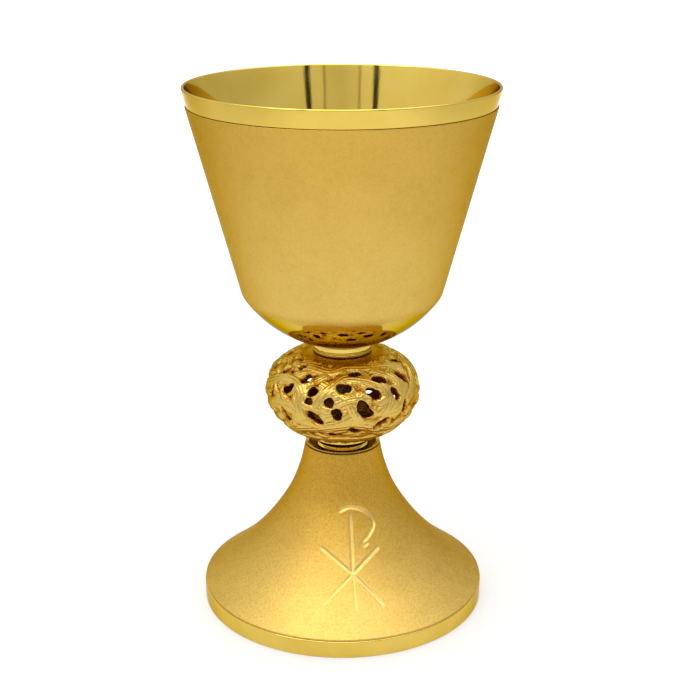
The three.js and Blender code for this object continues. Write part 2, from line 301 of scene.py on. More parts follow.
def satin_gold(lit_low_colour, shaded_high_colour, painted_light_span, speckle, polish_below=None):
    """Bead-blasted plate: an even grain, pinholes, faint stains, a colour painted lighter low down and
    darker higher up over a range of heights as painted light, engraving whose grooves are smoother and
    painted paler as a highlight, and polish below a height if one is given."""
    f = Finish("satin_gold", 0.45, SATIN_EDGE_TINT)
    height = f.node("ShaderNodeSeparateXYZ", Vector=f.place).outputs["Z"]
    # Painted light: 0 at the bottom of the range of heights, where the colour is lit lighter, to 1 at its
    # top, where it is shaded darker.
    rise = f.spread(height, *painted_light_span, 0.0, 1.0)
    grain = f.noise(2600, 2, 0.6)
    stains = f.noise(60, 4, 0.6)
    blotches = f.noise(420, 3, 0.6)
    tone = f.math("ADD", f.math("MULTIPLY", stains, 0.45), f.math("MULTIPLY", blotches, 0.55))
    patch = f.ramp(tone, [(0.32, (0.92, 0.9, 0.84)), (0.52, (1, 1, 1)), (0.75, (1.05, 1.06, 1.12))])
    # The painted light and shade by height, times the random stains.
    colour = f.mix(1.0, f.mix(rise, lit_low_colour, shaded_high_colour), patch, "MULTIPLY")
    grit = f.ramp(f.noise(1500, 1), [(0.3, (0.72, 0.66, 0.52)), (0.5, (1, 1, 1)), (0.7, (1.12, 1.14, 1.2))])
    colour = f.mix(speckle, colour, f.mix(1.0, colour, grit, "MULTIPLY"))
    mottle = f.math("ADD", f.math("MULTIPLY", grain, 0.5), f.math("MULTIPLY", blotches, 0.5))
    rough = f.spread(mottle, 0.3, 0.7, 0.4, 0.52)
    strength = grain
    if polish_below is None:
        cut = f.node("ShaderNodeAttribute", {"attribute_name": "engraved_painted_highlight"}).outputs["Fac"]
        # Painted highlight: the grooves' colour is mixed towards a pale gold, and they are smoother.
        colour = f.mix(f.math("MULTIPLY", cut, 0.5), colour, (0.86, 0.65, 0.23))
        rough = f.math("SUBTRACT", rough, f.math("MULTIPLY", cut, 0.12))
    else:
        wander = f.math("MULTIPLY", f.math("SUBTRACT", stains, 0.5), 4 * MM)
        edge = f.math("ADD", height, wander)
        fade = 1.6 * MM
        satin = f.spread(edge, polish_below - fade, polish_below + fade, 0.0, 1.0)
        colour = f.mix(satin, GOLD_PALE, colour)
        rough = f.math("ADD", 0.05, f.math("MULTIPLY", satin, f.math("SUBTRACT", rough, 0.05)))
        strength = f.math("MULTIPLY", strength, satin)
    f.set("Base Color", colour)
    f.set("Roughness", rough)
    f.set("Normal", f.bump(strength, 0.4, 0.14 * MM))
    return f.material


def plain_metal(name, dark, light, roughness):
    """Turned, unplated metal with fine rings from the lathe and a dull, slightly stained surface."""
    f = Finish(name, roughness)
    stains = f.noise(180, 3, 0.6)
    rings = f.noise(1500, 2, stretch=(0.1, 0.1, 1))
    f.set("Base Color", f.ramp(stains, [(0.3, dark), (0.7, light)]))
    f.set("Roughness", f.spread(stains, 0.3, 0.7, roughness - 0.06, roughness + 0.08))
    f.set("Normal", f.bump(rings, 0.3, 0.06 * MM))
    return f.material


def cast_gold():
    """Gilded casting, brushed bright on the strands, with painted warm shade in the recesses and on the
    inside.
    """
    f = Finish("cast_gold", 0.24, SATIN_EDGE_TINT)
    recess_painted_shade = f.node("ShaderNodeAttribute", {"attribute_name": "recess_painted_shade"}).outputs["Fac"]
    grain = f.noise(700, 3, 0.6)
    patches = f.noise(160, 3, 0.6)
    # Painted shade: the deeper the recess, the darker and warmer the colour, with random patches mixed in.
    shade = f.math("ADD", recess_painted_shade, f.math("MULTIPLY", f.math("SUBTRACT", patches, 0.5), 0.7))
    stops = [
        (0.0, (0.68, 0.46, 0.11)),
        (0.3, (0.58, 0.34, 0.05)),
        (0.6, (0.52, 0.24, 0.022)),
        (1.0, (0.27, 0.1, 0.01)),
    ]
    f.set("Base Color", f.ramp(shade, stops))
    worn = f.math("ADD", grain, f.math("MULTIPLY", recess_painted_shade, 0.3))
    f.set("Roughness", f.spread(worn, 0.3, 0.9, 0.16, 0.34))
    hammered = f.bump(patches, 0.8, 0.6 * MM)
    f.set("Normal", f.bump(grain, 0.35, 0.15 * MM, hammered))
    return f.material


# ---- Cup ----

# The cone narrows by this much per height and meets a round bottom of radius BALL_R centred at BALL_Z.
CONE_SLOPE = 0.2664
BALL_R = 44.7 * MM
BALL_Z = 148.3 * MM
SLEEVE_WALL = 0.7 * MM
BOWL_WALL = 0.8 * MM
BAND_INSET = 0.45 * MM
SLANT = math.hypot(1, CONE_SLOPE)
CORNER_ROUND = 1.6 * MM
CONE_ROWS, CORNER_ROWS, BALL_ROWS = 20, 12, 30
# The sleeve is polished below this height and satin above it.
POLISH_Z = 121.5 * MM

lip_r, lip_z = radius("cup_bowl"), high("cup_bowl")
sleeve_top_z = high("cup_sleeve")
band_z = sleeve_top_z + 0.15 * MM
sleeve_top_r = radius("cup_sleeve")


def cone_r(z, inset):
    return sleeve_top_r - CONE_SLOPE * (sleeve_top_z - z) - inset * SLANT


def corner(inset):
    """Where the cone meets the round bottom, on the surface that lies inset inside the sleeve's."""
    ball = BALL_R - inset
    at_centre = cone_r(BALL_Z, inset)
    a, b, c = 1 + CONE_SLOPE**2, CONE_SLOPE * at_centre, at_centre**2 - ball**2
    z = BALL_Z + (-b - math.sqrt(b * b - a * c)) / a
    return math.sqrt(ball**2 - (BALL_Z - z) ** 2), z


def wall_line(inset, top_z, end_r):
    """The cup's wall from a height down the cone, round the soft corner and along the ball to end_r."""
    ball = BALL_R - inset
    corner_r, corner_z = corner(inset)
    cone_end = corner_z + CORNER_ROUND
    arc_start = math.asin((BALL_Z - corner_z) / ball) + CORNER_ROUND / ball
    arc_end = math.acos(end_r / ball)
    line = [(cone_r(z, inset), z) for z in np.linspace(top_z, cone_end, CONE_ROWS)]
    blend_end = np.array((ball * math.cos(arc_start), BALL_Z - ball * math.sin(arc_start)))
    start = np.array(line[-1])
    middle = np.array((corner_r, corner_z))
    for t in np.linspace(0, 1, CORNER_ROWS)[1:]:
        point = (1 - t) ** 2 * start + 2 * t * (1 - t) * middle + t**2 * blend_end
        line.append(tuple(point))
    for angle in np.linspace(arc_start, arc_end, BALL_ROWS)[1:]:
        line.append((ball * math.cos(angle), BALL_Z - ball * math.sin(angle)))
    return line


def cup_bowl(finish):
    outside, inside = SLEEVE_WALL + GAP, SLEEVE_WALL + GAP + BOWL_WALL
    lip_round = 0.5 * MM
    inner_r = cone_r(lip_z, inside)
    underside = wall_line(outside, band_z, 0)[::-1]
    band = filleted(
        [
            (cone_r(band_z, outside), band_z, 0),
            (cone_r(band_z, BAND_INSET), band_z, 0.15 * MM),
            (lip_r, lip_z, lip_round),
            (inner_r, lip_z, lip_round),
            (cone_r(lip_z - 3 * MM, inside), lip_z - 3 * MM, 0),
        ],
        closed=False,
        steps=8,
    )
    lining = wall_line(inside, lip_z - 4 * MM, 0)
    outline = [*underside[:-1], *band, *lining]
    made = revolved("cup_bowl_polished", outline, 320, closed=False)
    keep(made, "cup_bowl", "cup", finish)


def cup_sleeve(finish):
    edge_z = sleeve_top_z - 0.4 * MM
    outside = wall_line(0, edge_z, BOSS_HOLE_R)[::-1]
    inside = wall_line(SLEEVE_WALL, edge_z, BOSS_HOLE_R)
    edge = filleted(
        [
            (*outside[-1], 0),
            (cone_r(sleeve_top_z, 0), sleeve_top_z, 0.25 * MM),
            (cone_r(sleeve_top_z, SLEEVE_WALL), sleeve_top_z, 0.25 * MM),
            (*inside[0], 0),
        ],
        closed=False,
    )
    outline = [*outside[:-1], *edge, *inside[1:]]
    made = revolved("cup_sleeve_satin", outline, 320)
    keep(made, "cup_sleeve", "cup", finish)


# ---- Collars ----


def upper_collar(finish):
    r, bottom = radius("upper_collar"), low("upper_collar")
    groove_z = bottom + 1.1 * MM
    groove_r = r - 0.5 * MM
    seat = BALL_R + GAP

    def seat_z(at_r):
        return BALL_Z - math.sqrt(seat**2 - at_r**2)

    outline = filleted(
        [
            (BOSS_HOLE_R, bottom, 0),
            (r, bottom, 0.5 * MM),
            (r, groove_z, 0.2 * MM),
            (groove_r, groove_z + 0.1 * MM, 0.08 * MM),
            (groove_r, groove_z + 0.5 * MM, 0.08 * MM),
            (r, groove_z + 0.6 * MM, 0.2 * MM),
            (r, seat_z(r), 0.15 * MM),
            (BOSS_HOLE_R, seat_z(BOSS_HOLE_R), 0),
        ]
    )
    made = revolved("upper_collar_turned", outline, 192)
    keep(made, "upper_collar", "cup", finish)


def lower_collar(finish):
    r, bottom, top = radius("lower_collar"), low("lower_collar"), high("lower_collar")
    neck = 9.5 * MM
    flange = top - 2 * MM
    outline = filleted(
        [
            (BORE, bottom, 0),
            (neck + 0.8 * MM, bottom, 0.1 * MM),
            (neck, bottom + 0.9 * MM, 0.5 * MM),
            (neck, flange - 0.3 * MM, 0.6 * MM),
            (r, flange, 0.35 * MM),
            (r, top, 0.5 * MM),
            (BORE, top, 0),
        ]
    )
    made = revolved("lower_collar_turned", outline, 192)
    keep(made, "lower_collar", "foot", finish)


# ---- Foot ----

RING_WALL = 1.3 * MM


def foot_cap(finish):
    top, bottom, rim = high("foot_cap"), low("foot_cap"), radius("foot_cap")
    dish = bottom + 1 * MM
    plug_r = 13.2 * MM
    rim_bottom = top - 0.92 * MM
    outline = filleted(
        [
            (BORE, bottom, 0),
            (plug_r, bottom, 0.2 * MM),
            (plug_r, rim_bottom, 0),
            (rim, rim_bottom, 0.1 * MM),
            (rim, top, 0.3 * MM),
            (plug_r + 0.1 * MM, top, 0.25 * MM),
            (11.6 * MM, dish, 1.2 * MM),
            (BORE, dish, 0),
        ]
    )
    made = revolved("foot_cap_dished", outline, 192)
    keep(made, "foot_cap", "foot", finish)


def foot_edge_ring(finish):
    r, top = radius("foot_edge_ring"), high("foot_edge_ring")
    flange_r = 50.5 * MM
    outline = filleted(
        [
            (flange_r, 0, 0.4 * MM),
            (r, 0, 0.45 * MM),
            (r, top, 0.45 * MM),
            (r - RING_WALL, top, 0.1 * MM),
            (r - RING_WALL, RING_WALL, 0.2 * MM),
            (flange_r, RING_WALL, 0.4 * MM),
        ]
    )
    made = revolved("foot_edge_ring_polished", outline, 320)
    keep(made, "foot_edge_ring", "foot", finish)


# The bell's outline from its top edge down to the edge ring, as (radius, height).
BELL = [
    (14.5 * MM, 63.3 * MM),
    (16.7 * MM, 54 * MM),
    (21.2 * MM, 43 * MM),
    (29.9 * MM, 30 * MM),
    (40.0 * MM, 19 * MM),
    (49.8 * MM, 11 * MM),
    (54.7 * MM, 7.4 * MM),
]
FOOT_WALL = 1 * MM
# The seam between the bell and the ring round its edge.
SEAM = 0.08 * MM

# The monogram's strokes, as how deep each is cut and its (across, height) points on the bell.
STROKES = {
    "stem": (1.0, [(2.7, 42.4), (3.5, 28), (3.7, 23.8)]),
    "stem_foot": (0.4, [(3.7, 23.8), (4.2, 19), (5, 14)]),
    "bow": (1.0, [(-1.5, 43), (2.7, 44.4), (8.4, 42.6), (11.6, 38.2), (10, 35), (7.6, 33)]),
    "rising_arm": (1.0, [(3.7, 23.8), (8.6, 27.4), (13.4, 30.6)]),
    "rising_arm_foot": (0.5, [(-7.6, 15.2), (-2, 19.6), (3.7, 23.8)]),
    "falling_arm": (1.0, [(-8, 31.2), (3.7, 23.8), (15, 14.6)]),
    "flick": (0.8, [(7.3, 33.2), (8.1, 31.8), (9.4, 32.6)]),
}
GROOVE_HALF = 0.95 * MM
GROOVE_DEPTH = 0.36 * MM
GROOVE_BURR = 0.06 * MM
# Bearings, in degrees from the front, between which the bell is meshed finely for the engraving.
ENGRAVED = (-28, 42)
ENGRAVED_STEP = 0.4
# The engraving lies within this distance to either side of this place across the bell.
ENGRAVED_X = 3 * MM
ENGRAVED_HALF = 16 * MM


def bell_radius(z, line):
    return np.interp(z, line[::-1, 1], line[::-1, 0])


def stroke_points(line):
    """Closely spaced points on the bell along every stroke, with how far each is cut."""
    points, cuts = [], []
    rng = np.random.default_rng(3)
    for weight, stroke in STROKES.values():
        path = spline(np.array(stroke) * MM, 160)
        r = bell_radius(path[:, 1], line)
        points.append(np.column_stack((path[:, 0], -np.sqrt(r**2 - path[:, 0] ** 2), path[:, 1])))
        along = np.linspace(0, 1, len(path))
        ends = np.clip(np.minimum(along, 1 - along) / 0.06, 0, 1)
        unsteady = np.interp(along, np.linspace(0, 1, 18), rng.uniform(-0.14, 0.14, 18))
        cuts.append(weight * (0.3 + 0.7 * np.sqrt(ends) + unsteady))
    return np.concatenate(points), np.concatenate(cuts)


def engraved_depth(verts, line):
    """How deep each point of the bell is cut, in metres, and how far it lies in a groove (0 to 1), which
    smooths the groove and paints a highlight into its colour.
    """
    points, cuts = stroke_points(line)
    depth = np.zeros(len(verts))
    bright = np.zeros(len(verts))
    front = np.flatnonzero((np.abs(verts[:, 0] - ENGRAVED_X) < ENGRAVED_HALF) & (verts[:, 1] < 0))
    for chunk in np.array_split(front, max(1, len(front) // POINTS_AT_ONCE)):
        gap = np.linalg.norm(verts[chunk][:, None, :] - points[None], axis=2)
        nearest = gap.argmin(1)
        away = gap[np.arange(len(chunk)), nearest]
        cut = cuts[nearest]
        across = away / (GROOVE_HALF * (0.6 + 0.4 * cut))
        groove = np.where(across < 1, (1 + np.cos(np.pi * np.clip(across, 0, 1))) / 2, 0)
        burr = np.exp(-(((across - 1.15) / 0.22) ** 2))
        depth[chunk] = cut * (GROOVE_DEPTH * groove - GROOVE_BURR * burr)
        # How far the point lies in a groove, which the finish uses for a painted highlight.
        bright[chunk] = np.clip((1.05 - across) / 0.3, 0, 1) * np.clip(cut, 0, 1)
    return depth, bright


def foot_shell(finish):
    line = spline(BELL, 260)
    out = normals_of(line)
    left, right = ENGRAVED
    fine = np.arange(left, right, ENGRAVED_STEP)
    coarse = np.linspace(right, 360 + left, 200, endpoint=False)
    bearings = np.radians(np.concatenate((fine, coarse)))
    count = len(bearings)
    sin, cos = np.sin(bearings), -np.cos(bearings)

    def ring_of(r, z):
        return np.column_stack((r * sin, r * cos, np.full(count, z)))

    outer = np.concatenate([ring_of(r, z) for r, z in line])
    direction = np.concatenate([ring_of(n[0], n[1]) for n in out])
    depth, bright = engraved_depth(outer, line)
    outer -= direction * depth[:, None]
    skirt_r = radius("foot_edge_ring") - RING_WALL - GAP
    skirt_top = high("foot_edge_ring") + SEAM
    bottom = low("foot_shell")
    edge = filleted(
        [
            (*line[-1], 0),
            (line[-1][0], skirt_top, 0.12 * MM),
            (skirt_r, skirt_top, 0),
            (skirt_r, bottom, 0.2 * MM),
            (skirt_r - FOOT_WALL, bottom, 0.2 * MM),
            (skirt_r - FOOT_WALL, skirt_top, 0.5 * MM),
        ],
        closed=False,
    )[1:]
    inside = (line - out * FOOT_WALL)[::-8]
    rest = np.concatenate([ring_of(r, z) for r, z in [*edge, *inside]])
    verts = np.concatenate((outer, rest))
    rings = len(verts) // count
    k = np.arange(count)
    faces = []
    for i in range(rings):
        a, b = i * count + k, (i + 1) % rings * count + k
        faces.append(np.column_stack((a, b, np.roll(b, -1), np.roll(a, -1))))
    made = mesh_object("foot_shell_satin", verts, np.concatenate(faces).tolist())
    # The grooves, which the finish makes smoother and paints paler as a highlight.
    layer = made.data.attributes.new("engraved_painted_highlight", "FLOAT", "POINT")
    layer.data.foreach_set("value", np.concatenate((bright, np.zeros(len(rest)))).astype(np.float32))
    keep(made, "foot_shell", "foot", finish)


# ---- Knot ----

# The knot's outline from its top land to its bottom land, as (radius, height).
KNOT = [
    (14.5 * MM, 100.6 * MM),
    (19.4 * MM, 98.7 * MM),
    (26.4 * MM, 93.8 * MM),
    (29.1 * MM, 86.5 * MM),
    (28.2 * MM, 80 * MM),
    (24.4 * MM, 75 * MM),
    (20 * MM, 71.3 * MM),
    (15 * MM, 68.8 * MM),
]
KNOT_WALL = 2.4 * MM
KNOT_MOUTH_R = 7.5 * MM
KNOT_LAND_R = 12 * MM
# The relief sinks towards the rims of the openings and towards the knot's two ends.
RIM_DROP = 0.45 * MM
RIM_WIDTH = 0.3 * MM
END_DROP = 0.3 * MM
END_WIDTH = 2 * MM
# A point starts to count as recessed, and to take painted shade, below SHADE_FROM and is fully so
# SHADE_SPAN lower.
SHADE_FROM = 0.25 * MM
SHADE_SPAN = 1.1 * MM

# Openings on the front half, repeated on the back half: bearing in degrees from the front,
# height, length, width and tilt in degrees.
KNOT_OPENINGS = [
    (12, 98, 4.6, 2.4, 0),
    (-48, 98.6, 3.4, 2.4, 60),
    (77, 98, 5, 2.2, -30),
    (-63, 96.4, 4, 2, 60),
    (-34, 96.2, 4.4, 3.4, 60),
    (34, 96, 6, 3.2, -20),
    (61, 94.6, 6.4, 3.8, -60),
    (1, 94.6, 5.6, 3.8, 0),
    (-24, 93, 4.2, 3.2, 45),
    (25, 92.4, 6, 3.2, -35),
    (-47, 92, 5.6, 3.2, 40),
    (-26, 89.6, 3, 2.4, 0),
    (-10, 89.8, 3.6, 3.2, -40),
    (44, 90.6, 5.6, 3.2, -60),
    (-67, 88.6, 5, 2.4, 70),
    (82, 90.4, 5, 3, 50),
    (16, 87, 7.6, 4.4, -55),
    (-4, 85.6, 4.6, 3.6, -70),
    (-20, 83.4, 7, 3, -35),
    (52, 84.2, 6, 2.8, 70),
    (-47, 81.8, 7, 2.4, -50),
    (99, 84.4, 6, 3, -40),
    (74, 80, 5, 3, -30),
    (30, 80, 6.8, 3.6, 36),
    (9, 78.2, 5, 2.6, -40),
    (-8, 76.2, 6, 2.8, -10),
    (-27, 74.8, 4.6, 2.6, -20),
    (50, 75.4, 5, 2.6, 10),
    (-58, 75.4, 5, 2.6, 20),
    (88, 74.6, 5.4, 2.6, 10),
]

# Ribbons that lie on top of the weave, on the front half and repeated on the back half:
# level above the weave, width, then (bearing, height) points along the middle.
RIBBONS = [
    (
        0.25,
        5.0,
        [(-23, 86), (-15, 91.8), (-7, 95), (3, 97), (18, 96.6), (30, 95), (37, 91), (34, 87), (26, 83)],
    ),
    (0.05, 4.6, [(-21, 96), (-10, 94.6), (-1, 91.6), (6, 89.6), (9, 86), (14, 81.6), (26, 77)]),
    (0.1, 4.2, [(-60, 98), (-37, 99), (-14, 98.6), (3, 99.6), (24, 99.4), (51, 98.6), (80, 96)]),
    (0.2, 4.4, [(30, 99), (46, 96.6), (50, 93), (36, 89.6), (27, 88)]),
    (0.1, 4.8, [(92, 97), (80, 94), (70, 90), (58, 87.4), (44, 84), (30, 83.6)]),
    (0.15, 4.6, [(-86, 88), (-72, 92), (-57, 94.6), (-42, 94.6), (-33, 92), (-34, 87), (-27, 81)]),
    (0.0, 4.8, [(-80, 82), (-60, 84.6), (-40, 85.4), (-29, 80.6), (-14, 79.6), (0, 81.4), (10, 84)]),
    (0.1, 4.6, [(-52, 74), (-35, 77), (-18, 79), (-6, 80.4), (7, 81.2), (19, 80), (40, 77), (60, 79)]),
    (0.15, 4.4, [(-34, 89), (-16, 87), (-10, 86.6), (-3, 89), (9, 90.6), (24, 89.6)]),
    (0.05, 4.0, [(-90, 72.6), (-60, 73), (-30, 72.4), (0, 73), (30, 72.6), (60, 73), (89, 72.6)]),
    (0.1, 4.4, [(19, 76), (34, 83), (41, 87), (56, 91), (68, 96)]),
]
# A strand's relief: how far its middle rises and its sides fall, and the fine reeds along it.
RIBBON_CROWN = 0.42 * MM
RIBBON_DROP = 1.6 * MM
REED_PITCH = 1.25 * MM
REED_DEPTH = 0.085 * MM
# The two crossing sets: how far strands rise and dip, their level, how many there are round the
# knot and how far they sweep round it. Then the low set behind them.
WEAVE_LIFT = 0.52 * MM
WEAVE_LEVEL = -0.45 * MM
WEAVE_STRANDS = 16
WEAVE_SWEEP = 1.35
LOW_PITCH = 4.6 * MM
LOW_HALF = 2.1 * MM
LOW_LEVEL = -0.95 * MM
# The openings are rounded rectangles, and strands part round them out to PARTING times their size.
SQUARENESS = 2.6
PARTING = 2.6
OPENING_REACH = 12 * MM


def knot_grid():
    """The knot's smooth surface: bearings, outline radius, height, distance down it, and normals."""
    fine = spline(KNOT, 600)
    steps = np.linalg.norm(np.diff(fine, axis=0), axis=1)
    run = np.concatenate(([0], np.cumsum(steps)))
    rows, turns = ((224, 840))
    s = np.linspace(0, run[-1], rows)
    r = np.interp(s, run, fine[:, 0])
    z = np.interp(s, run, fine[:, 1])
    bearings = np.linspace(0, 2 * math.pi, turns, endpoint=False)
    return bearings, s, r, z, normals_of(np.column_stack((r, z)))


def turn_between(a, b):
    """The signed angle from b to a, in radians, the short way round."""
    return (a - b + math.pi) % (2 * math.pi) - math.pi


def around_openings(bearing, s, s_of_z, r_of_s):
    """For points on the knot: distance outside the nearest opening, and the same points drawn in
    towards each opening's middle, which makes the strands part round it."""
    outside = np.full(bearing.shape, 1.0)
    pull_b = np.zeros(bearing.shape)
    pull_s = np.zeros(bearing.shape)
    rng = np.random.default_rng(11)
    for half in (0, math.pi):
        for at_bearing, height, length, width, tilt in KNOT_OPENINGS:
            middle = s_of_z(height * MM)
            r = r_of_s(middle)
            x = turn_between(bearing, math.radians(at_bearing) + half) * r
            y = middle - s
            near = (np.abs(x) < OPENING_REACH) & (np.abs(y) < OPENING_REACH)
            x, y = x[near], y[near]
            c, d = math.cos(math.radians(tilt)), math.sin(math.radians(tilt))
            along, over = c * x + d * y, -d * x + c * y
            angle = np.arctan2(over, along)
            a, b = rng.uniform(0, 2 * math.pi, 2)
            wobble = 1 + 0.07 * np.sin(3 * angle + a) + 0.05 * np.sin(5 * angle + b)
            u, v = np.abs(along) / (length * MM / 2), np.abs(over) / (width * MM / 2)
            reach = (u**SQUARENESS + v**SQUARENESS) ** (1 / SQUARENESS) / wobble + 1e-6
            size = np.hypot(along, over) / reach
            outside[near] = np.minimum(outside[near], (reach - 1) * size)
            fade = np.clip((PARTING - reach) / (PARTING - 1), 0, 1)
            kept = np.sqrt(np.clip(1 - 1 / np.maximum(reach, 1) ** 2, 0, 1))
            share = 0.75 * (1 - kept) * fade
            pull_b[near] -= x * share / r
            pull_s[near] += y * share
    return outside, bearing + pull_b, s + pull_s


def reeded(across, half, level):
    """A ribbon's height at a distance from its middle: crowned and reeded, falling off at its edges."""
    t = np.abs(across) / half
    crown = RIBBON_CROWN * (1 - np.clip(t, 0, 1) ** 2)
    reeds = REED_DEPTH * np.cos(2 * math.pi * across / REED_PITCH) * np.clip((1.05 - t) * 6, 0, 1)
    fall = np.clip((np.abs(across) - half + 0.15 * MM) / (0.6 * MM), 0, 1)
    drop = RIBBON_DROP * fall**2 * (3 - 2 * fall)
    return level + crown + reeds - drop - 4 * np.clip(t - 1.3, 0, None) * MM


def weave(bearing, s, r, total):
    """Two crossing sets of strands that pass over and under each other, over a low third set."""
    rng = np.random.default_rng(5)
    gap = 2 * math.pi / WEAVE_STRANDS
    down = s / total
    drift = 0.10 * np.sin(3 * bearing + 4 * down) + 0.07 * np.sin(5 * bearing - 7 * down + 1)
    heights = []
    leans = (1.15 * math.pi / 2, -1.25 * math.pi / 2)
    coords = []
    for i, lean in enumerate(leans):
        coords.append((bearing + lean * (down - 0.5) * WEAVE_SWEEP + drift * (1 + i)) / gap)
    for i, (mine, other) in enumerate((coords, coords[::-1])):
        index = np.round(mine)
        slope = abs(leans[i]) * WEAVE_SWEEP / total * r
        across = (mine - index) * gap * r / np.sqrt(1 + slope**2)
        which = (index % WEAVE_STRANDS).astype(int)
        half = rng.uniform(1.9, 2.6, WEAVE_STRANDS)[which] * MM
        shift = rng.uniform(-0.4, 0.4, WEAVE_STRANDS)[which] * MM
        level = WEAVE_LIFT * (1 - 2 * i) * np.cos(math.pi * (index + other)) + WEAVE_LEVEL
        heights.append(reeded(across - shift, half, level))
    rows = (s / LOW_PITCH) + 0.35 * np.sin(2 * bearing) + 0.2 * np.sin(5 * bearing + 2)
    low_set = reeded((rows - np.round(rows)) * LOW_PITCH, LOW_HALF, LOW_LEVEL)
    return np.maximum(np.maximum(heights[0], heights[1]), low_set)


def laid_ribbons(places, height, s_of_z, r_of_s, z_of_s):
    """The knot's relief once the single ribbons are laid over the weave."""
    for half in (0, math.pi):
        for level, width, points in RIBBONS:
            line = [(math.radians(b) + half, s_of_z(z * MM)) for b, z in points]
            path = spline(line, 240)
            r, z = r_of_s(path[:, 1]), z_of_s(path[:, 1])
            middle = np.column_stack((r * np.sin(path[:, 0]), -r * np.cos(path[:, 0]), z))
            reach = width * MM / 2 + 0.8 * MM
            lowest, highest = middle.min(0) - reach, middle.max(0) + reach
            near = np.flatnonzero(((places > lowest) & (places < highest)).all(1))
            side = np.cross(np.gradient(middle, axis=0), middle * (1, 1, 0))
            side /= np.linalg.norm(side, axis=1)[:, None]
            for chunk in np.array_split(near, max(1, len(near) // POINTS_AT_ONCE)):
                gap = places[chunk][:, None, :] - middle[None]
                square = (gap**2).sum(2)
                k = square.argmin(1)
                away = np.sqrt(square[np.arange(len(chunk)), k])
                sign = np.sign((gap[np.arange(len(chunk)), k] * side[k]).sum(1))
                end = np.minimum(k, len(middle) - 1 - k) / 12
                sunk = (1 - np.clip(end, 0, 1)) * 1.2 * MM
                made = reeded(sign * away, width * MM / 2, level * MM - sunk)
                height[chunk] = np.maximum(height[chunk], made)
    return height


def snapped(bearing, down, border, s_of_z, r_of_s):
    """The grid's points with those on the border moved onto the outlines of the openings."""
    nudge = 0.05 * MM
    furthest = 0.25 * MM
    for _ in range(3):
        here, _, _ = around_openings(bearing, down, s_of_z, r_of_s)
        east, _, _ = around_openings(bearing + nudge / r_of_s(down), down, s_of_z, r_of_s)
        south, _, _ = around_openings(bearing, down + nudge, s_of_z, r_of_s)
        ge, gs = (east - here) / nudge, (south - here) / nudge
        scale = here / np.maximum(ge**2 + gs**2, 0.2)
        move = np.clip(scale, -furthest, furthest)
        bearing = np.where(border, bearing - move * ge / r_of_s(down), bearing)
        down = np.where(border, down - move * gs, down)
    return bearing, down


def casting_faces(kept, outer, inner, land):
    """Faces over the kept cells of both surfaces, round the openings and across the end lands."""
    turns = kept.shape[1]

    def strip(a, b):
        return np.column_stack((a, b, np.roll(b, -1), np.roll(a, -1)))

    def cells(grid):
        a, b = grid[:-1], grid[1:]
        return a, b, np.roll(b, -1, 1), np.roll(a, -1, 1)

    a, b, c, d = cells(outer)
    na, nb, nc, nd = cells(inner)
    faces = [np.column_stack((a[kept], b[kept], c[kept], d[kept]))]
    faces.append(np.column_stack((nd[kept], nc[kept], nb[kept], na[kept])))
    above = np.vstack((np.ones((1, turns), bool), kept[:-1]))
    below = np.vstack((kept[1:], np.ones((1, turns), bool)))
    for edge, (p, q, pn, qn) in (
        (kept & ~np.roll(kept, -1, 1), (d, c, nd, nc)),
        (kept & ~np.roll(kept, 1, 1), (b, a, nb, na)),
        (kept & ~below, (c, b, nc, nb)),
        (kept & ~above, (a, d, na, nd)),
    ):
        faces.append(np.column_stack((p[edge], q[edge], qn[edge], pn[edge])))
    for path in (
        [outer[-1], land[0], land[1], land[2], inner[-1]],
        [inner[0], land[3], land[4], land[5], outer[0]],
    ):
        faces += [strip(path[i], path[i + 1]) for i in range(4)]
    return np.concatenate(faces)


